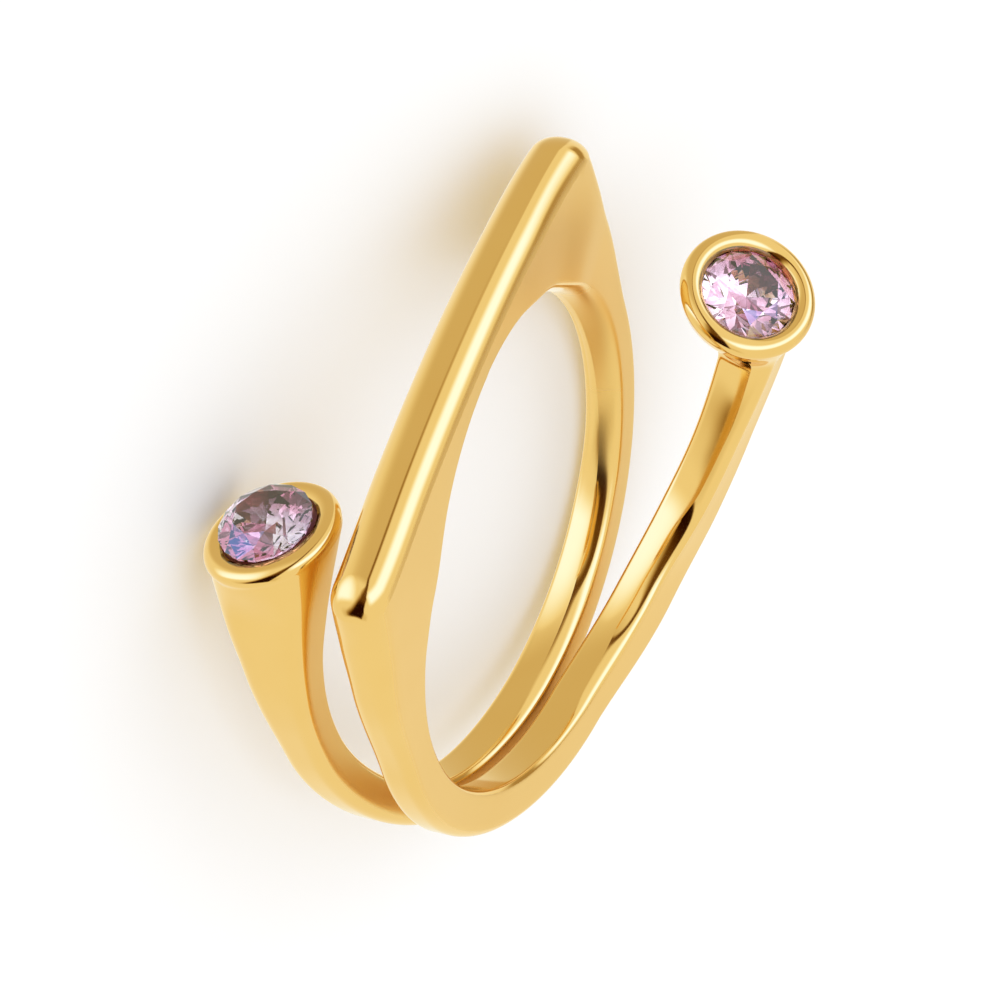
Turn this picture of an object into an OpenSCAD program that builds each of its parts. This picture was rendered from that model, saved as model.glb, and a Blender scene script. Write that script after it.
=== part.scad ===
/* [Finger hole] */
// Diameter of the round finger hole, mm
bore_d = 17.2; // [16.8:0.1:17.8]

/* [Flat top bar] */
// Height of the crest above the finger axis at the middle of the bar, mm
bar_h = 10.3; // [10.1:0.05:10.5]
// How much lower the crest is near the two ends of the bar, mm
bar_drop = 0.87; // [0.6:0.01:1.1]
// Distance from the middle at which that drop is measured, mm
bar_reach = 9; // [8:0.5:10]
// Rounding of the two outer corners of the bar, mm
corner_r = 0.2; // [0.15:0.05:0.6]

/* [Edges] */
// Rounding of the inner edge that faces out along the finger, mm
rim_r = 0.2; // [0.1:0.01:0.3]
// Rounding of the inner edge that faces the other strand, mm
seam_r = 0.3; // [0.2:0.01:0.34]

/* [Stone cups] */
// Outer radius of a cup at its rim, mm
cup_r = 2.39; // [2.35:0.01:2.45]
// Radius of the opening that holds the stone, mm
cup_in_r = 1.7; // [1.68:0.01:1.74]
// Outer radius of a cup where the flared arm begins, mm
cup_base_r = 2.25; // [2.15:0.01:2.3]
// Height of the cup wall down to where the flared arm begins, mm
cup_wall = 0.83; // [0.75:0.01:0.95]

/* [Stones] */
// Radius of a stone at its widest line, mm
stone_r = 1.64; // [1.6:0.01:1.65]
// Radius of the flat table on top of a stone, mm
table_r = 0.95; // [0.85:0.01:1]
// Height from the widest line up to the table, mm
crown_h = 0.52; // [0.45:0.01:0.6]
// Depth from the widest line down to the point, mm
pavilion_h = 1.26; // [1.2:0.01:1.3]
// Depth of the right stone's widest line below the top of its rim, mm
sunk_right = 0.33; // [0.28:0.01:0.36]
// Height of the left stone's widest line above the top of its rim, mm
proud_left = 0.17; // [0.05:0.01:0.2]
// Thickness of the widest line, mm
girdle_t = 0.08; // [0.06:0.01:0.12]

/* [Hidden] */
bore_r = bore_d / 2;
// points round one corner of a cross section, and round a whole section
quarter = 7;
around = 4 * quarter;
// how far the swept inner face stands inside the bore before the bore is cut
skin = 0.04;
// length of the cut that leaves the round hole in the strands
bore_cut = 4.4;
// rows of the flared length between an arm and its cup, and how strongly the
// cup's own slope carries on down into it
flare_rows = 7;
flare_pull = 0.9;
// the ring at rest: turned onto its side, leaning where a cup props it up, turned
// on the floor, and shifted until its lowest point and its middle are at the origin
on_side = 90;
lean_way = -25.7;
lean = 14.1;
floor_turn = -55.3;
floor_shift = [1.227, 0.771, 3.393];
// Stirrup: travel angle from the middle of the bar, outer radius, offset along
// the finger, half width, outer edge rounding, angle at which that edge starts
ANGLE = 0;
OUTER = 1;
OFFSET = 2;
HALF = 3;
EDGE = 4;
CREASE = 5;
STIRRUP = [
    [0, 15.2, 0, 1.05, 0.9, 22],
    [30, 14.6, 0.14, 1.04, 0.88, 22],
    [45, 13.85, 0.22, 0.97, 0.92, 14],
    [56, 12.35, 0.2, 0.96, 0.9, 0],
    [66, 11.45, 0.28, 0.84, 0.72, 0],
    [90, 10.28, 0.26, 0.7, 0.45, 0],
    [115, 10.26, 0.3, 0.67, 0.4, 0],
    [140, 10.2, 0.44, 0.73, 0.38, 0],
    [180, 10.36, 0.86, 0.76, 0.42, 0]
];
// Arms: travel angle, stand off from the bore, thickness, offset along the
// finger, half width, outer edge rounding
A_LIFT = 1;
A_THICK = 2;
A_OFFSET = 3;
A_HALF = 4;
A_EDGE = 5;
ARM_RIGHT = [
    [140, -skin, 1.6 + skin, 0.44, 0.73, 0.38],
    [180, -skin, 1.76 + skin, 0.86, 0.76, 0.42],
    [208, 0.23, 2.2, 1.71, 0.72, 0.4],
    [237, 0.36, 2.4, 3.31, 0.8, 0.4],
    [261, 0.82, 2.66, 4.65, 1, 0.45]
];
ARM_LEFT = [
    [140, -skin, 1.6 + skin, 0.44, 0.73, 0.38],
    [180, -skin, 1.76 + skin, 0.86, 0.76, 0.42],
    [223, 0.27, 1.52, 1.71, 0.77, 0.45],
    [267, 0.21, 1.47, 3.2, 0.83, 0.5],
    [307, 1.09, 2.18, 3.57, 1.64, 0.8]
];
// Cups: centre of the rim and the way it faces, in ring coordinates
CUP_RIGHT = [[-10.76, 4.96, 1.42], [0.02, 0.56, 1]];
CUP_LEFT = [[7.38, -3.76, 8.57], [-0.14, -0.28, 1]];
// The way the left stone faces: it leans in its cup
STONE_LEFT_FACING = [-0.03, -0.18, 1];
// Cup profile: radius and height along the cup axis, from outside to the seat
lip = (cup_r - cup_in_r) / 2;
seat = 0.36;
CUP_PROFILE = [
    [cup_base_r, -cup_wall],
    [cup_base_r + (cup_r - cup_base_r) * 0.55, -cup_wall * 0.72],
    [cup_r, -lip],
    [cup_r - lip + lip * cos(30), -lip + lip * sin(30)],
    [cup_r - lip + lip * cos(60), -lip + lip * sin(60)],
    [cup_r - lip, 0],
    [cup_r - lip - lip * cos(60), -lip + lip * sin(60)],
    [cup_r - lip - lip * cos(30), -lip + lip * sin(30)],
    [cup_in_r, -lip],
    [cup_in_r, -seat - girdle_t / 2 - 0.1],
    [0.34, -seat - pavilion_h + 0.08],
    [0.2, -seat - pavilion_h - 0.14]
];

// Smooth curve through one column of a table, without overshoot
function gap(t, i) = t[i + 1][0] - t[i][0];
function rise(t, c, i) = (t[i + 1][c] - t[i][c]) / gap(t, i);
function inner_slope(t, c, i) =
    rise(t, c, i - 1) * rise(t, c, i) <= 0 ? 0 :
    3 * (gap(t, i - 1) + gap(t, i)) /
    ((2 * gap(t, i) + gap(t, i - 1)) / rise(t, c, i - 1) + (gap(t, i) + 2 * gap(t, i - 1)) / rise(t, c, i));
function slope(t, c, i) =
    i == 0 ? rise(t, c, 0) :
    i == len(t) - 1 ? rise(t, c, i - 1) : inner_slope(t, c, i);
function seg(t, x, i = 0) = i >= len(t) - 2 || x < t[i + 1][0] ? i : seg(t, x, i + 1);
function hermite(a, b, da, db, h, s) =
    (2 * s * s * s - 3 * s * s + 1) * a + (s * s * s - 2 * s * s + s) * h * da +
    (3 * s * s - 2 * s * s * s) * b + (s * s * s - s * s) * h * db;
function on_seg(t, c, x, i) =
    hermite(t[i][c], t[i + 1][c], slope(t, c, i), slope(t, c, i + 1), gap(t, i), (x - t[i][0]) / gap(t, i));
function at(t, c, x) = on_seg(t, c, x, seg(t, x));

// Outer radius of the stirrup: the arched bar top, cut off by the shanks
function bar_k(u) = bar_drop / (bar_reach * bar_reach) * pow(sin(u), 2);
function bar_radius(u) =
    u < 1 ? bar_h / cos(u) :
    (-cos(u) + sqrt(pow(cos(u), 2) + 4 * bar_k(u) * bar_h)) / (2 * bar_k(u));
function soft_min(a, b, r) = (a + b - sqrt(pow(a - b, 2) + r * r)) / 2;
function outer_radius(u) =
    u > 78 ? at(STIRRUP, OUTER, u) : soft_min(at(STIRRUP, OUTER, u), bar_radius(u), corner_r);

// One point of a cross section: across the band, and outward from its inner face
function side(k) = k < quarter || k >= 3 * quarter ? 1 : -1;
function turn(k) = (floor(k / quarter) + (k % quarter + 0.5) / quarter) * 90;
function ease(a, e) = e + (90 - e) * (a - 90 / quarter / 2) / (90 - 90 / quarter);
function fold(k) = k < quarter ? turn(k) : 180 - turn(k);
function sec_outer(k, w, t, ro, e) =
    let (a = ease(fold(k), e), r = min(ro, w * 0.97, t * 0.9))
    [side(k) * (w - r + r * cos(a) / cos(e)), t - r + r * (sin(a) - sin(e)) / (1 - sin(e))];
function sec_inner(k, w, ri) =
    [side(k) * (w - ri) + ri * cos(turn(k)), ri + ri * sin(turn(k))];
function section(k, w, t, ro, rp, rn, e) =
    k < 2 * quarter ? sec_outer(k, w, t, ro, e) : sec_inner(k, w, side(k) > 0 ? rp : rn);
function radial(u) = [sin(u), 0, cos(u)];
function slice(u, r_in, r_out, off, w, ro, rp, rn, e) = [
    for (k = [0:around - 1])
        let (p = section(k, w, r_out - r_in, ro, rp, rn, e))
        radial(u) * (r_in + p[1]) + [0, off + p[0], 0]
];

// Rows of one half of the band, from the middle of the bar to the cup
function fan(a, b, s) = [for (u = [a:s:b]) u];
U_STIRRUP = concat(fan(0, 36, 4), fan(39, 45, 3), fan(46.5, 54, 1.5), fan(57, 69, 3), fan(73, 177, 4));
function stirrup_rows(d) = [
    for (u = U_STIRRUP)
        slice(d * u, bore_r - skin, outer_radius(u), d * at(STIRRUP, OFFSET, u), at(STIRRUP, HALF, u),
            at(STIRRUP, EDGE, u), d > 0 ? rim_r : seam_r, d > 0 ? seam_r : rim_r, at(STIRRUP, CREASE, u))
];
function arm_angles(t) = [for (i = [0:26]) 180 + (t[len(t) - 1][0] - 180) * i / 26];
function arm_rows(d, t) = [
    for (u = arm_angles(t))
        slice(d * u, bore_r + at(t, A_LIFT, u), bore_r + at(t, A_LIFT, u) + at(t, A_THICK, u),
            d * at(t, A_OFFSET, u), at(t, A_HALF, u), at(t, A_EDGE, u),
            d > 0 ? rim_r : seam_r, d > 0 ? seam_r : rim_r, 0)
];
function unit(v) = v / norm(v);
function along(v, n) = v - n * (v * n);
function circle_row(cup, d, u, r, h) =
    let (
        n = unit(cup[1]),
        e1 = unit(along([0, 1, 0], n)),
        e0 = along(radial(d * u), n),
        e2 = unit(e0 - e1 * (e0 * e1))
    )
    [for (k = [0:around - 1]) cup[0] + n * h + r * (cos(turn(k)) * e1 + sin(turn(k)) * e2)];
function middle(row) = [for (i = [0:2]) sum_axis(row, i) / len(row)];
function sum_axis(row, i, k = 0) = k == len(row) ? 0 : row[k][i] + sum_axis(row, i, k + 1);
function cup_rows(cup, d, u) = [for (p = CUP_PROFILE) circle_row(cup, d, u, p[0], p[1])];
function flare(last, prev, base, above) =
    let (
        span = norm(middle(base) - middle(last)),
        step = norm(middle(last) - middle(prev))
    )
    [
        for (i = [1:flare_rows])
            let (s = i / (flare_rows + 1))
            [
                for (k = [0:around - 1])
                    hermite(last[k], base[k], (last[k] - prev[k]) / step, unit(above[k] - base[k]) * flare_pull,
                        span, s)
            ]
    ];
function half_rows(d, t, cup) =
    let (
        arm = arm_rows(d, t),
        n = len(arm),
        bowl = cup_rows(cup, d, t[len(t) - 1][0])
    )
    concat(stirrup_rows(d), arm, flare(arm[n - 1], arm[n - 2], bowl[0], bowl[1]), bowl);
function tail(rows) = [for (i = [len(rows) - 1:-1:1]) rows[i]];
ROWS = concat(tail(half_rows(-1, ARM_LEFT, CUP_LEFT)), half_rows(1, ARM_RIGHT, CUP_RIGHT));
LAST = len(ROWS) - 1;

function flat(rows) = [for (r = rows) for (p = r) p];
function next(k) = (k + 1) % around;
function skin_faces() = [
    for (i = [0:LAST - 1])
        for (k = [0:around - 1])
            for (f = [
                [i * around + k, (i + 1) * around + k, i * around + next(k)],
                [i * around + next(k), (i + 1) * around + k, (i + 1) * around + next(k)]
            ])
                f
];
function end_faces() = [
    for (k = [1:around - 2])
        for (f = [[0, k, k + 1], [LAST * around, LAST * around + k + 1, LAST * around + k]])
            f
];

module at_rest() {
    translate(floor_shift)
        rotate([0, 0, floor_turn])
            rotate([0, -lean, 0])
                rotate([0, 0, -lean_way])
                    rotate([on_side, 0, 0])
                        children();
}

// One cast piece: the bar, both shanks, both arms and both cups
module band() {
    color([0.85, 0.65, 0.25])
        at_rest()
            difference() {
                polyhedron(points = flat(ROWS), faces = concat(skin_faces(), end_faces()), convexity = 8);
                rotate([90, 0, 0])
                    cylinder(h = bore_cut, r = bore_r, center = true, $fn = 180);
            }
}

// Round brilliant: table, stars, kites and halves above the widest line,
// halves and mains below it
kite_r = (table_r + stone_r) / 2 + 0.06;
lower_r = stone_r * 0.26;
function on_kite(r) = girdle_t / 2 + crown_h * (stone_r - r * cos(22.5)) / (stone_r - table_r);
function on_main(r) = -girdle_t / 2 - pavilion_h * (1 - r * cos(22.5) / stone_r);
function cut_ring(n, r, h, off) = [
    for (k = [0:n - 1]) [r * cos((k + off) * 360 / n), r * sin((k + off) * 360 / n), h]
];
TABLE = 0;
KITE = 8;
TOP = 16;
UNDER = 32;
LOWER = 48;
POINT = 56;
STONE_POINTS = concat(
    cut_ring(8, table_r, girdle_t / 2 + crown_h, 0),
    cut_ring(8, kite_r, on_kite(kite_r), 0.5),
    cut_ring(16, stone_r, girdle_t / 2, 0),
    cut_ring(16, stone_r, -girdle_t / 2, 0),
    cut_ring(8, lower_r, on_main(lower_r), 0.5),
    [[0, 0, -girdle_t / 2 - pavilion_h]]
);
function k8(k) = (k + 8) % 8;
function k16(k) = (k + 16) % 16;
STONE_FACES = concat(
    [[7, 6, 5, 4, 3, 2, 1, 0]],
    [for (k = [0:7]) [TABLE + k, TABLE + k8(k + 1), KITE + k]],
    [for (k = [0:7]) [TABLE + k, KITE + k, TOP + 2 * k, KITE + k8(k - 1)]],
    [for (k = [0:7]) [KITE + k, TOP + 2 * k + 1, TOP + 2 * k]],
    [for (k = [0:7]) [KITE + k, TOP + k16(2 * k + 2), TOP + 2 * k + 1]],
    [for (k = [0:15]) [TOP + k, TOP + k16(k + 1), UNDER + k16(k + 1), UNDER + k]],
    [for (k = [0:7]) [LOWER + k, UNDER + 2 * k, UNDER + 2 * k + 1]],
    [for (k = [0:7]) [LOWER + k, UNDER + 2 * k + 1, UNDER + k16(2 * k + 2)]],
    [for (k = [0:7]) [POINT, LOWER + k8(k - 1), UNDER + 2 * k, LOWER + k]]
);
module stone(cup, lift, facing) {
    n = unit(facing);
    translate(cup[0] + unit(cup[1]) * lift)
        rotate([0, acos(n[2]), atan2(n[1], n[0])])
            polyhedron(points = STONE_POINTS, faces = STONE_FACES);
}

// Pale stone in the cup at the end of the near arm
module stone_left() {
    color([0.86, 0.72, 0.86])
        at_rest()
            stone(CUP_LEFT, proud_left, STONE_LEFT_FACING);
}

// Pale stone in the cup at the end of the far arm
module stone_right() {
    color([0.86, 0.72, 0.86])
        at_rest()
            stone(CUP_RIGHT, -sunk_right, CUP_RIGHT[1]);
}

band();
stone_left();
stone_right();
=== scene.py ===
import math

import bmesh
import bpy
from mathutils import Matrix, Vector


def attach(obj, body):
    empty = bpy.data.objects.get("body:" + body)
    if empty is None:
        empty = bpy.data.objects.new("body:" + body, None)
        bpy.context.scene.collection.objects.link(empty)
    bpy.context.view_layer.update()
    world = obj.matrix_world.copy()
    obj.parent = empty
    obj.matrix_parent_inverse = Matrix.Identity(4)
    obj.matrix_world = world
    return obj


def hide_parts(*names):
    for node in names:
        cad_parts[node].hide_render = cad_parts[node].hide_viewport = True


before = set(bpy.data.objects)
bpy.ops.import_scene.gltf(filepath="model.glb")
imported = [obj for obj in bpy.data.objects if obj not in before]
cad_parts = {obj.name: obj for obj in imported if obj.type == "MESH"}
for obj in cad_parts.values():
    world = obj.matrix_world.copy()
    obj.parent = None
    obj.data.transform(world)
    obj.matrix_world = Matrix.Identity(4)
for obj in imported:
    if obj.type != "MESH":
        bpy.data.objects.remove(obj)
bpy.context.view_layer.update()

# The band: one cast piece of brass, polished to a mirror and plated in yellow gold. A
# single strip runs from the left cup over the flat bar to the right cup, about one and
# two thirds turns. It is shaped in mm as if it stood upright, and laid down at the end.
MM = 0.001
BORE_R = 8.6
# points on each rounded corner, across the inner face, and on each flat side
CORNER, ACROSS, FLAT = 13, 8, 6
AROUND = 4 * CORNER + ACROSS + 3 * FLAT
# the inner face is crowned along its plain edge, for comfort on the finger
CROWN = 0.09
# how strongly an inner edge leaves the inner face and meets the side
LEAVING, MEETING = 1.8, 1.4
# the most that the outer rounding may take of the half width and of the thickness
WIDEST, DEEPEST = 0.97, 0.9


def hermite(a, b, da, db, h, s):
    return (
        a * (2 * s**3 - 3 * s**2 + 1)
        + da * ((s**3 - 2 * s**2 + s) * h)
        + b * (3 * s**2 - 2 * s**3)
        + db * ((s**3 - s**2) * h)
    )


def inner_edge(w, lift, facet):
    """From the crease on the inner face over a gently turning facet to the side."""
    wide, deep, rise = facet
    crease, side = Vector((w - wide, lift)), Vector((w, lift + deep))
    leaving, meeting = Vector((LEAVING * wide, LEAVING * wide * rise)), Vector((0, MEETING * deep))
    return [hermite(crease, side, leaving, meeting, 1, k / (CORNER - 1)) for k in range(CORNER)]


def rounded(x, y, rx, ry, start):
    """The quarter turn of an outer corner about (x, y)."""
    angles = [math.radians(start + (k + 0.5) * 90 / CORNER) for k in range(CORNER)]
    return [(x + rx * math.cos(a), y + ry * math.sin(a)) for a in angles]


def straight(x0, y0, x1, y1):
    """Evenly along a flat side, without its two ends."""
    shares = [(k + 1) / (FLAT + 1) for k in range(FLAT)]
    return [(x0 + (x1 - x0) * s, y0 + (y1 - y0) * s) for s in shares]


def crowned(start, end):
    """Across the inner face, highest at its start."""
    shares = [(k + 1) / (ACROSS + 1) for k in range(ACROSS)]
    return [(start + (end - start) * s, CROWN * (1 - s) ** 2) for s in shares]


def section(w, t, rx, ry, plus, minus):
    """Points (across, outward) once round the strip, for half width w and thickness t."""
    rx, ry = min(rx, w * WIDEST), min(ry, t * DEEPEST)
    top = t - ry
    points = rounded(w - rx, top, rx, ry, 0)
    points += straight(w - rx, t, rx - w, t)
    points += rounded(rx - w, top, rx, ry, 90)
    points += straight(-w, top, -w, CROWN + minus[1])
    points += [(-x, y) for x, y in reversed(inner_edge(w, CROWN, minus))]
    points += crowned(minus[0] - w, w - plus[0])
    points += inner_edge(w, 0, plus)
    return points + straight(w, plus[1], w, top)


# The two shanks and the bar between them are one sweep from the middle of the bar down
# each side to the bottom. The far shank lies behind the near one.
# travel angle from the middle of the bar, outer radius, offset along the finger,
# half width, outer rounding across the band, outer rounding in depth, all mm
SHANK = [
    [0, 15.2, 0.0, 1.03, 0.9, 0.9],
    [30, 14.75, 0.21, 1.03, 0.9, 0.9],
    [45, 13.85, 0.33, 1.02, 0.98, 1.2],
    [56, 12.35, 0.27, 0.97, 0.93, 0.98],
    [66, 11.45, 0.28, 0.84, 0.72, 0.72],
    [90, 10.28, 0.26, 0.7, 0.45, 0.45],
    [115, 10.26, 0.3, 0.67, 0.4, 0.4],
    [140, 10.2, 0.44, 0.73, 0.38, 0.38],
    [180, 10.36, 0.86, 0.76, 0.42, 0.42],
]
# travel angle, extra reach and extra depth of the far end of the bar, mm
FAR_END = [
    [0, 0.0, 0.0],
    [20, 0.06, 0.1],
    [35, 0.2, 0.33],
    [50, 0.3, 0.43],
    [65, 0.06, 0.33],
    [80, 0.0, 0.18],
    [100, 0.0, 0.08],
    [120, 0.0, 0.02],
    [180, 0.0, 0.0],
]
# travel angle, width, depth and first rise of the soft facet along the inner edge, far
# and near, and the same three for the plain inner edge on the other side, all mm
FACET_FAR = [
    [0, 0.25, 0.25, 0.13],
    [25, 0.3, 0.3, 0.3],
    [45, 0.8, 0.6, 0.34],
    [75, 0.95, 0.6, 0.3],
    [105, 0.8, 0.5, 0.34],
    [126, 0.66, 0.42, 0.34],
    [135, 0.62, 0.3, 0.15],
    [147, 0.58, 0.28, 0.13],
    [158, 0.5, 0.4, 0.38],
    [178, 0.45, 0.4, 0.38],
    [200, 0.25, 0.25, 0.2],
]
FACET_NEAR = [
    [0, 0.2, 0.2, 0.13],
    [165, 0.2, 0.2, 0.13],
    [180, 0.34, 0.34, 0.38],
    [192, 0.46, 0.4, 0.38],
    [202, 0.62, 0.28, 0.13],
    [221, 0.62, 0.28, 0.13],
    [232, 0.42, 0.4, 0.42],
    [245, 0.42, 0.4, 0.45],
    [262, 0.66, 0.5, 0.45],
]
PLAIN_EDGE = (0.25, 0.25, 0.13)
# the sweep's steps, closest where the bar's shoulder turns: from, to, step, in degrees
SHANK_STEPS = [[0, 40, 2], [40, 60, 0.5], [60, 76, 1], [76, 180, 2]]


def slope(table, column, i):
    """Slope at row i, flattened so that the curve never swings past a row."""

    def rise(k):
        return (table[k + 1][column] - table[k][column]) / (table[k + 1][0] - table[k][0])

    if i == 0:
        return rise(0)
    if i == len(table) - 1:
        return rise(i - 1)
    before, after = rise(i - 1), rise(i)
    if before * after <= 0:
        return 0.0
    g0, g1 = table[i][0] - table[i - 1][0], table[i + 1][0] - table[i][0]
    return 3 * (g0 + g1) / ((2 * g1 + g0) / before + (g1 + 2 * g0) / after)


def at(table, column, u):
    """A column's value at travel angle u, on a smooth curve through the rows."""
    i = max(k for k in range(len(table) - 1) if k == 0 or u >= table[k][0])
    g = table[i + 1][0] - table[i][0]
    low, high = table[i][column], table[i + 1][column]
    return hermite(low, high, slope(table, column, i), slope(table, column, i + 1), g, (u - table[i][0]) / g)


def radial(u):
    """Outward from the middle of the finger hole at travel angle u."""
    return Vector((math.sin(math.radians(u)), 0, math.cos(math.radians(u))))


def loop(u, r_in, r_out, offset, w, rx, ry, way):
    """One loop of the strip. The way is 1 on the near side and -1 on the far side."""
    facets = FACET_NEAR if way > 0 else FACET_FAR
    x = min(u, facets[-1][0])
    facet = (at(facets, 1, x), at(facets, 2, x), at(facets, 3, x))
    return [
        radial(way * u) * (r_in + y) + Vector((0, way * offset + x, 0))
        for x, y in section(w, r_out - r_in, rx, ry, facet, PLAIN_EDGE)
    ]


def shank_loops(way):
    loops = []
    for start, end, step in SHANK_STEPS:
        count = round((end - start) / step)
        for u in [start + (end - start) * i / count for i in range(count)]:
            reach, fill = (at(FAR_END, 1, u), at(FAR_END, 2, u)) if way < 0 else (0, 0)
            outer, offset, w, rx, ry = [at(SHANK, column, u) for column in range(1, 6)]
            loops.append(loop(u, BORE_R - fill, outer + reach, offset, w, rx, ry, way))
    return loops


# The two arms leave the bottom of the shanks, stand off from the finger and grow wider
# towards their cups.
# travel angle, stand off from the bore, thickness, offset along the finger, half width,
# outer rounding, all mm
ARM_RIGHT = [
    [140, 0.0, 1.6, 0.44, 0.73, 0.38],
    [180, 0.0, 1.76, 0.86, 0.76, 0.42],
    [208, 0.23, 2.25, 1.7, 0.76, 0.4],
    [226, 0.32, 2.15, 2.66, 0.83, 0.4],
    [240, 0.38, 2.15, 3.48, 0.84, 0.4],
    [262, 0.83, 2.66, 4.7, 1.0, 0.45],
]
ARM_LEFT = [
    [140, 0.0, 1.6, 0.44, 0.73, 0.38],
    [180, 0.0, 1.76, 0.86, 0.76, 0.42],
    [223, 0.27, 1.5, 1.71, 0.77, 0.45],
    [267, 0.21, 1.46, 3.2, 0.83, 0.5],
    [291, 0.66, 1.72, 3.44, 1.19, 0.62],
    [303, 0.97, 2.12, 3.54, 1.55, 0.76],
]
ARM_START, ARM_STEPS = 180, 56


def arm_loops(way, arm):
    loops = []
    for i in range(ARM_STEPS + 1):
        u = ARM_START + (arm[-1][0] - ARM_START) * i / ARM_STEPS
        stand_off, t, offset, w, r = [at(arm, column, u) for column in range(1, 6)]
        r_in = BORE_R + stand_off
        loops.append(loop(u, r_in, r_in + t, offset, w, r, r, way))
    return loops


# Each arm flares into a round cup. Its rim is rolled over and burnished smooth, with a
# ledge inside it, and a bowl below that clears the stone's point.
# rim: the middle of the rim and the way it faces; base: radius and depth of the ring that
# the flare runs into; roll: the angles between which the rim is rolled, and the half
# width of its inner half; ledge: radius and depth, all mm and degrees
CUP_RIGHT = {
    "rim": (Vector((-10.76, 4.96, 1.42)), Vector((0.02, 0.56, 1.0))),
    "base": (2.22, 0.86),
    "roll": (-20, 180, 0.38),
    "ledge": (1.7, 0.5),
}
CUP_LEFT = {
    "rim": (Vector((7.38, -3.73, 8.57)), Vector((-0.14, -0.28, 1.0))),
    "base": (2.34, 0.62),
    "roll": (-25, 125, 0.58),
    "ledge": (1.6, 0.32),
}
CUP_R, LIP, ROLL_STEP = 2.39, 0.38, 5
# depth of the bowl, and the radii and depth of the small pit under the stone's point
BOWL, PIT_TOP, PIT_FOOT, PIT = 1.54, 0.34, 0.2, 0.22
FLARE_STEPS = 20


def cup_profile(cup):
    """Radius and height from the base over the rolled rim down to the foot of the pit."""
    (base, wall), (start, end, inner), (ledge, depth) = cup["base"], cup["roll"], cup["ledge"]
    points = [(base, -wall)]
    for degrees in range(start, end + 1, ROLL_STEP):
        a, wide = math.radians(degrees), LIP if degrees < 90 else inner
        points.append((CUP_R - LIP + wide * math.cos(a), LIP * (math.sin(a) - 1)))
    return points + [(ledge, -depth), (PIT_TOP, -BOWL), (PIT_FOOT, -BOWL - PIT)]


def cup_loops(cup, way, u):
    """Rings of the cup, whose points follow the points of the arm's loops round."""
    centre, facing = cup["rim"][0], cup["rim"][1].normalized()
    e1 = (Vector((0, 1, 0)) - facing * facing.y).normalized()
    out = radial(way * u) - facing * radial(way * u).dot(facing)
    e2 = (out - e1 * out.dot(e1)).normalized()
    turns = [math.radians((k + 0.5 + FLAT / 2) * 360 / AROUND) for k in range(AROUND)]
    return [
        [centre + facing * h + (e1 * math.cos(a) + e2 * math.sin(a)) * r for a in turns]
        for r, h in cup_profile(cup)
    ]


def flare_loops(before, last, base):
    """Straight on from the arm, widening into the base ring without a waist."""
    loops = []
    for i in range(1, FLARE_STEPS):
        points = []
        for o, p, q in zip(before, last, base):
            chord = q - p
            points.append(
                hermite(p, q, (p - o).normalized(), chord.normalized(), chord.length, i / FLARE_STEPS)
            )
        loops.append(points)
    return loops


def half(way, arm, cup):
    """All loops from the middle of the bar to the foot of one cup's pit."""
    arms = arm_loops(way, arm)
    bowl = cup_loops(cup, way, arm[-1][0])
    return shank_loops(way) + arms + flare_loops(arms[-2], arms[-1], bowl[0]) + bowl


far_half = half(-1, ARM_LEFT, CUP_LEFT)
loops = far_half[:0:-1] + half(1, ARM_RIGHT, CUP_RIGHT)
bar_row = len(far_half) - 1

# The strip is drawn out loop by loop from a round blank. Its inner face is satin around
# one row of the far shank, and the bed under each stone is marked for a duller finish
# and a painted shade.
# rows from the middle of the bar to the satin, rows that it takes to fade, rows of a bed
SATIN_DOWN, SATIN_ROWS, BED_ROWS = 79, 36, 3

bpy.ops.object.select_all(action="DESELECT")
bpy.ops.mesh.primitive_circle_add(vertices=AROUND, radius=1)
band = bpy.context.object
band.name = "band_gold"
bpy.ops.object.mode_set(mode="EDIT")
bpy.ops.mesh.edge_face_add()
mesh = bmesh.from_edit_mesh(band.data)
place = mesh.verts.layers.int.new("place")
row = mesh.verts.layers.int.new("row")
silky = mesh.verts.layers.float.new("silky")
bed = mesh.verts.layers.float.new("bed")
for k, v in enumerate(mesh.verts):
    v[place] = k
for n, points in enumerate(loops):
    if n:
        bpy.ops.mesh.extrude_region_move()
        mesh = bmesh.from_edit_mesh(band.data)
        place, row = mesh.verts.layers.int["place"], mesh.verts.layers.int["row"]
        silky, bed = mesh.verts.layers.float["silky"], mesh.verts.layers.float["bed"]
    satin = max(0, 1 - abs(bar_row - n - SATIN_DOWN) / SATIN_ROWS)
    for v in mesh.verts:
        if v.select:
            v.co = points[v[place]]
            v[row] = n
            v[silky] = satin if 2 * (CORNER + FLAT) <= v[place] < AROUND - FLAT else 0
            v[bed] = 1 if min(n, len(loops) - 1 - n) < BED_ROWS else 0

# The bar is cut off level with its crease, then closed by a domed top in small steps
# inward and upward, which leaves one clean crease along both sides and both ends.
# height of the bar, its drop at its reach, height, slope and reach of the dome, all mm,
# the dome's skew, and the angles at its crease and near its middle
BAR_H, BAR_DROP, BAR_REACH = 10.3, 0.87, 9.0
DOME_H, DOME_SLOPE, DOME_REACH, DOME_SKEW = 0.88, 0.005, 8.95, 0.036
CREASE, CLOSING, DOME_STEPS = 14, 87, 16
# rows to either side of the middle of the bar that the cut may reach, the gap under
# which points of the cut are one, and the angle from which an edge shows as a crease
CUT_ROWS, WELD, SHARP = 76, 0.02, 14


def dome_height(x):
    return DOME_H - DOME_SLOPE * x


def crease_height(x):
    return BAR_H - BAR_DROP * (x / BAR_REACH) ** 2 - dome_height(x)


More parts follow.
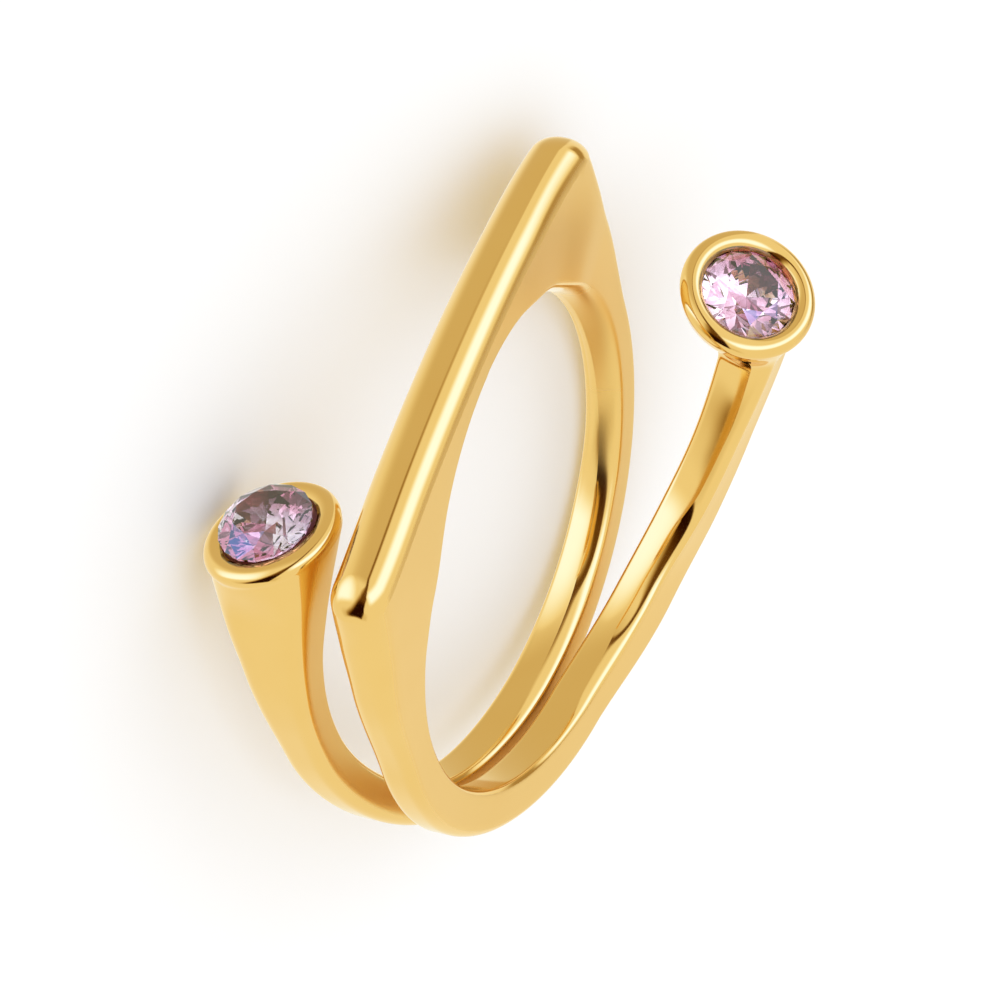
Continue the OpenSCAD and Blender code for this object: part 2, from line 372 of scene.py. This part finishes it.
for v in mesh.verts:
    v.co.z -= crease_height(v.co.x)
bpy.ops.mesh.select_all(action="DESELECT")
for f in mesh.faces:
    f.select = all(abs(v[row] - bar_row) <= CUT_ROWS for v in f.verts)
mesh.select_flush(True)
bpy.ops.mesh.bisect(plane_co=(0, 0, 0), plane_no=(0, 0, 1), use_fill=True, clear_outer=True)
bpy.ops.mesh.select_all(action="DESELECT")
mesh = bmesh.from_edit_mesh(band.data)
top = max(mesh.faces, key=lambda f: len(f.verts))
top.select = True
mesh.select_flush(True)
bpy.ops.mesh.remove_doubles(threshold=WELD)
mesh = bmesh.from_edit_mesh(band.data)
ridge = mesh.verts.layers.float_vector.new("ridge")
edge = mesh.verts.layers.float_vector.new("edge")
for v in mesh.verts:
    if v.select:
        along = max(-DOME_REACH, min(DOME_REACH, v.co.x))
        v[ridge] = Vector((along, along * DOME_SKEW, 0))
        v[edge] = v.co
crease_sine, crease_cosine = math.sin(math.radians(CREASE)), math.cos(math.radians(CREASE))
for i in range(1, DOME_STEPS + 1):
    a = math.radians(CREASE + (CLOSING - CREASE) * i / DOME_STEPS)
    inward = 1 - math.cos(a) / crease_cosine
    upward = DOME_H * (math.sin(a) - crease_sine) / (1 - crease_sine)
    bpy.ops.mesh.extrude_region_move()
    mesh = bmesh.from_edit_mesh(band.data)
    ridge, edge = mesh.verts.layers.float_vector["ridge"], mesh.verts.layers.float_vector["edge"]
    for v in mesh.verts:
        if v.select:
            v.co = v[edge].lerp(v[ridge], inward) + Vector((0, 0, upward))
bpy.ops.mesh.quads_convert_to_tris(ngon_method="BEAUTY")
mesh = bmesh.from_edit_mesh(band.data)
for v in mesh.verts:
    lift = max(v.co.z, 0) / DOME_H * (dome_height(v.co.x) - DOME_H)
    v.co.z += crease_height(v.co.x) + lift
bpy.ops.mesh.select_all(action="SELECT")
bpy.ops.mesh.normals_make_consistent(inside=False)
bpy.ops.object.mode_set(mode="OBJECT")
bpy.ops.object.shade_smooth_by_angle(angle=math.radians(SHARP))

# The ring lies on its side, leaning where the left cup props it up.
# middle of the finger hole, the way it leans, how far it leans, and its turn on the hole
HOLE_MIDDLE = Vector((1.227, 0.771, 3.393))
LEANING_WAY, LEAN, TURN = -55.3, -14.1, 25.7


def turned(degrees, axis):
    return Matrix.Rotation(math.radians(degrees), 4, axis)


at_rest = (
    Matrix.Translation(HOLE_MIDDLE * MM)
    @ turned(LEANING_WAY, "Z")
    @ turned(LEAN, "Y")
    @ turned(TURN, "Z")
    @ turned(90, "X")
    @ Matrix.Scale(MM, 4)
)
band.data.transform(at_rest)
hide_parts("band")
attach(band, "root")


def linear(hex_colour):
    """An sRGB hex value as the linear colour that the shader takes."""
    parts = [int(hex_colour[i : i + 2], 16) / 255 for i in (1, 3, 5)]
    return [p / 12.92 if p <= 0.04045 else ((p + 0.055) / 1.055) ** 2.4 for p in parts] + [1]


def add(tree, kind, settings=(), links=()):
    """One node: settings are its properties and sockets, links are socket: (node, output)."""
    node = tree.nodes.new(kind)
    for name, value in dict(settings).items():
        if isinstance(name, int) or name in node.inputs:
            node.inputs[name].default_value = value
        else:
            setattr(node, name, value)
    for name, (other, output) in dict(links).items():
        tree.links.new(other.outputs[output], node.inputs[name])
    return node


# Yellow gold plating on polished brass: a mirror with the faintest cloudiness, one cloud
# in 2.4 mm. The flat sides were polished on a wheel and are silkier, so they show the
# light as an even glow. The bed under each stone is duller, and is painted a reddish
# brown as painted shade of the hollow and painted reflection of the stone's colour.
CLOUDS_PER_METRE, CLOUDING = 420.0, 0.03
# roughness of the polish, of the sides, of the satin and of the stones' beds
POLISH, SILK, SATIN, BED = 0.075, 0.4, 0.4, 0.35
# how squarely a face looks along the finger where the silk starts, and where it is full
SILK_FROM, SILK_FULL = 0.86, 0.98
gold = bpy.data.materials.new("polished_yellow_gold_plating")
gold.use_nodes = True
tree = gold.node_tree
shader = tree.nodes["Principled BSDF"]
spot = add(tree, "ShaderNodeTexCoord")
finger = at_rest.to_3x3().col[1].normalized()
side = add(tree, "ShaderNodeVectorMath", {"operation": "DOT_PRODUCT", 1: finger}, {0: (spot, "Normal")})
side = add(tree, "ShaderNodeMath", {"operation": "ABSOLUTE"}, {0: (side, "Value")})
wheel = {"interpolation_type": "SMOOTHSTEP", 1: SILK_FROM, 2: SILK_FULL, 3: POLISH, 4: SILK}
silk = add(tree, "ShaderNodeMapRange", wheel, {0: (side, "Value")})
satin = add(tree, "ShaderNodeAttribute", {"attribute_name": "silky"})
satin = add(tree, "ShaderNodeMath", {"operation": "MULTIPLY", 1: SATIN}, {0: (satin, "Fac")})
silk = add(tree, "ShaderNodeMath", {"operation": "MAXIMUM"}, {0: (silk, "Result"), 1: (satin, "Value")})
clouds = {"Scale": CLOUDS_PER_METRE, "Detail": 2.0}
cloud = add(tree, "ShaderNodeTexNoise", clouds, {"Vector": (spot, "Object")})
clouded = {"operation": "MULTIPLY_ADD", 1: CLOUDING}
rough = add(tree, "ShaderNodeMath", clouded, {0: (cloud, 0), 2: (silk, "Value")})
tints = {"data_type": "RGBA", 6: linear("#F1CA76"), 7: linear("#F4D07F")}
tint = add(tree, "ShaderNodeMix", tints, {0: (cloud, 0)})
# painted shade and painted reflection: the bed is darkened to a reddish brown for the shade in the hollow
# under the stone and the stone's colour seen on its walls
matt_and_shaded_bed = add(tree, "ShaderNodeAttribute", {"attribute_name": "bed"})
matt = add(tree, "ShaderNodeMath", {"operation": "MULTIPLY", 1: BED}, {0: (matt_and_shaded_bed, "Fac")})
rough = add(tree, "ShaderNodeMath", {"operation": "MAXIMUM"}, {0: (rough, "Value"), 1: (matt, "Value")})
painted_bed_shade = {"data_type": "RGBA", 7: linear("#A8705C")}
tint = add(tree, "ShaderNodeMix", painted_bed_shade, {0: (matt_and_shaded_bed, "Fac"), 6: (tint, 2)})
tree.links.new(tint.outputs[2], shader.inputs["Base Color"])
tree.links.new(rough.outputs[0], shader.inputs["Roughness"])
shader.inputs["Metallic"].default_value = 1
band.data.materials.clear()
band.data.materials.append(gold)

# The two stones: round brilliant-cut cubic zirconia, pale pink, each pressed into its cup
# under the rolled rim. Cut and polished clear, they bend the light strongly. Painted shade
# runs across each stone's colour in patches, from maroon at one edge over mauve to nearly white.
stone = bpy.data.materials.new("pale_pink_cubic_zirconia")
stone.use_nodes = True
tree = stone.node_tree
shader = tree.nodes["Principled BSDF"]
spot = add(tree, "ShaderNodeTexCoord")
depth = add(tree, "ShaderNodeSeparateXYZ", {}, {"Vector": (spot, "Generated")})
# six patches across a stone, about 0.55 mm each
cells = add(tree, "ShaderNodeTexVoronoi", {"Scale": 6.0}, {"Vector": (spot, "Generated")})
patch = add(tree, "ShaderNodeSeparateColor", {}, {"Color": (cells, "Color")})
blurred = {"operation": "MULTIPLY_ADD", 1: 0.12}
level = add(tree, "ShaderNodeMath", blurred, {0: (patch, 0), 2: (depth, "X")})
# painted shade across each stone, its edge blurred by the patches
painted_shade_ramp = add(tree, "ShaderNodeValToRGB", {}, {"Fac": (level, "Value")})
# how far across the stone, and its colour there: painted shade from maroon at one edge over mauve to the
# stone's own pale pink white
painted_shade_stops = [(0.17, "#5C2034"), (0.34, "#93607A"), (0.48, "#BE9CB8"), (0.58, "#F8E8F8"), (1.0, "#FFFAFF")]
for n, (across, hue) in enumerate(painted_shade_stops):
    stop = painted_shade_ramp.color_ramp.elements[0] if n == 0 else painted_shade_ramp.color_ramp.elements.new(across)
    stop.position, stop.color = across, linear(hue)
painted_shade_ramp.color_ramp.elements.remove(painted_shade_ramp.color_ramp.elements[-1])
tree.links.new(painted_shade_ramp.outputs["Color"], shader.inputs["Base Color"])
shader.inputs["Transmission Weight"].default_value = 1
shader.inputs["Roughness"].default_value = 0.0
shader.inputs["IOR"].default_value = 2.15
for name in ("stone_left", "stone_right"):
    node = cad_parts[name]
    node.data.materials.clear()
    node.data.materials.append(stone)

# The table: a matt white board that the ring lies on. The polished metal shows the light
# tent alone, so the board is kept out of its reflections.
bpy.ops.object.select_all(action="DESELECT")
bpy.ops.mesh.primitive_plane_add(size=4)
floor = bpy.context.object
floor.name = "floor"
white = bpy.data.materials.new("matt_white_table")
white.use_nodes = True
white.node_tree.nodes["Principled BSDF"].inputs["Base Color"].default_value = (0.9, 0.9, 0.9, 1)
white.node_tree.nodes["Principled BSDF"].inputs["Roughness"].default_value = 0.6
floor.data.materials.append(white)
floor.visible_glossy = False

# The light: a soft white tent around the ring. Its front opening is a dark wedge that
# narrows upwards, a bright panel stands at the upper right and a second one at the left,
# and the upper left is in half shade. The metal mirrors all of this.
FRONT = Vector((0, -0.8387, 0.5445))
RIGHT = Vector((0, 0.5445, 0.8387))
UP = Vector((-1, 0, 0))
world = bpy.data.worlds.new("light_tent")
bpy.context.scene.world = world
world.use_nodes = True
world.cycles.sampling_method = "NONE"
tent = world.node_tree
way = add(tent, "ShaderNodeTexCoord")


def toward(right, up, front):
    """How squarely the tent's cloth at a place lies in the given direction, 1 at most."""
    aim = (RIGHT * right + UP * up + FRONT * front).normalized()
    settings = {"operation": "DOT_PRODUCT", 1: aim}
    return add(tent, "ShaderNodeVectorMath", settings, {0: (way, "Generated")}), "Value"


def ramp(value, low, high, start=0.0, end=1.0):
    """From start, where the value is low, gently to end, where it is high."""
    settings = {"interpolation_type": "SMOOTHSTEP", 1: low, 2: high, 3: start, 4: end}
    return add(tent, "ShaderNodeMapRange", settings, {0: value}), "Result"


def sums(operation, *values):
    """Works on numbers and on other nodes' outputs alike."""
    settings = {k: v for k, v in enumerate(values) if not isinstance(v, tuple)}
    links = {k: v for k, v in enumerate(values) if isinstance(v, tuple)}
    return add(tent, "ShaderNodeMath", {"operation": operation, **settings}, links), "Value"


def times(first, *others):
    for other in others:
        first = sums("MULTIPLY", first, other)
    return first


def cosine(degrees):
    return math.cos(math.radians(degrees))


right, up, front = toward(1, 0, 0), toward(0, 1, 0), toward(0, 0, 1)
# the cloth, half shaded at the upper left, a little dim low in front and brighter behind
shade = times(ramp(up, 0.25, 0.65), ramp(right, 0.03, -0.03))
low_front = times(ramp(up, -0.6, -0.8), ramp(up, -0.92, -0.85), ramp(front, -0.05, 0.2))
low_front = times(low_front, ramp(right, 0.5, 0.3))
light = sums("MULTIPLY_ADD", shade, -0.25, 0.95)
light = sums("MULTIPLY_ADD", low_front, -0.15, light)
light = sums("MULTIPLY_ADD", ramp(front, -0.5, -0.8), 0.04, light)
# a long panel at the upper right, from the front round to the side
off_panel = sums("ABSOLUTE", sums("SUBTRACT", toward(-0.664, 0.648, 0.372), 0.12))
panel_end = ramp(toward(0.65, 0.5, 0.55), cosine(60), cosine(40))
panel = times(ramp(off_panel, 0.36, 0.1), panel_end, ramp(front, -0.2, 0.1))
light = sums("MULTIPLY_ADD", panel, 2.5, light)
# a round panel at the left
left_panel = times(ramp(toward(-0.9, -0.22, 0.33), cosine(40), cosine(6)), ramp(up, -0.52, -0.3))
light = sums("MULTIPLY_ADD", left_panel, 2.3, light)
# a dim band low behind the long panel draws the crease of the bar
hem = times(ramp(front, -0.14, -0.26), ramp(front, -0.6, -0.45), ramp(up, 0.1, 0.3), ramp(right, 0.1, 0.4))
light = times(light, sums("MULTIPLY_ADD", hem, -0.55, 1.0))
# the dark wedge of the opening, deepest in front and fading towards the top and the foot
left_edge = sums("SUBTRACT", right, sums("MINIMUM", sums("MULTIPLY_ADD", up, 0.3, -0.21), -0.12))
left_edge = times(left_edge, ramp(up, 0.1, 0.5, 1, 4))
right_edge = sums("SUBTRACT", sums("MULTIPLY_ADD", up, -0.12, 0.03), right)
wedge = times(ramp(left_edge, -0.2, 0.08), ramp(right_edge, -0.06, 0.01))
depth = ramp(sums("MULTIPLY_ADD", up, -0.6, front), -0.3, 0.6, 0.12, 1.0)
depth = times(depth, ramp(front, 0.15, 0.4), ramp(up, -0.91, -0.85), ramp(up, -0.2, -0.5, 0.87, 1.0))
light = times(light, sums("SUBTRACT", 1.0, times(wedge, depth)))
light = sums("ADD", light, 0.02)
# gold shows the tent's shadows browner and its panels whiter than the cloth between
dim = sums("MINIMUM", light, 1.0)
bright = sums("MAXIMUM", light, 1.0)
red = times(dim, sums("POWER", bright, 0.15))
green = times(sums("POWER", dim, 1.4), sums("POWER", bright, 0.4))
blue = times(sums("POWER", dim, 2.2), bright, ramp(front, -0.6, -0.95, 1.0, 0.9))
metal_light = add(tent, "ShaderNodeCombineColor", {}, {0: red, 1: green, 2: blue})
# through a stone the opening looks maroon and the cloth a bright pink white
stone_tints = {"data_type": "RGBA", 6: (0.13, 0.02, 0.05, 1), 7: (2.1, 2.02, 2.12, 1)}
stone_light = add(tent, "ShaderNodeMix", stone_tints, {0: dim})
# the table itself is lit by plain white cloth
plain = {"data_type": "RGBA", 6: (1.2, 1.2, 1.2, 1)}
ray = add(tent, "ShaderNodeLightPath")
seen = add(tent, "ShaderNodeMix", plain, {0: (ray, "Is Glossy Ray"), 7: (metal_light, "Color")})
through = {0: (ray, "Is Transmission Ray"), 6: (seen, 2), 7: (stone_light, 2)}
seen = add(tent, "ShaderNodeMix", {"data_type": "RGBA"}, through)
sky = tent.nodes["Background"]
tent.links.new(seen.outputs[2], sky.inputs["Color"])
sky.inputs["Strength"].default_value = 1.0

# The camera: a long lens 27 cm away and 33 degrees above the table, rolled onto its side
# as the ring is, so that the picture shows the ring upright.
TARGET = Vector((0.267, 0.469, 2.928))
ELEVATION, ROLL, DISTANCE = math.radians(32.99), math.radians(110.93), 270.28
SENSOR, LENS = 36, 291.6
back = Vector((0, -math.cos(ELEVATION), math.sin(ELEVATION)))
level = Vector((1, 0, 0))
sideways = level * math.cos(ROLL) + back.cross(level) * math.sin(ROLL)
facing = Matrix((sideways, back.cross(sideways), back)).transposed()
bpy.ops.object.camera_add(location=(TARGET + back * DISTANCE) * MM, rotation=facing.to_euler())
camera = bpy.context.object
camera.data.sensor_width = SENSOR
camera.data.lens = LENS
camera.data.clip_start = 0.01
camera.data.clip_end = 20
bpy.context.scene.camera = camera
bpy.context.scene.view_settings.view_transform = "Standard"
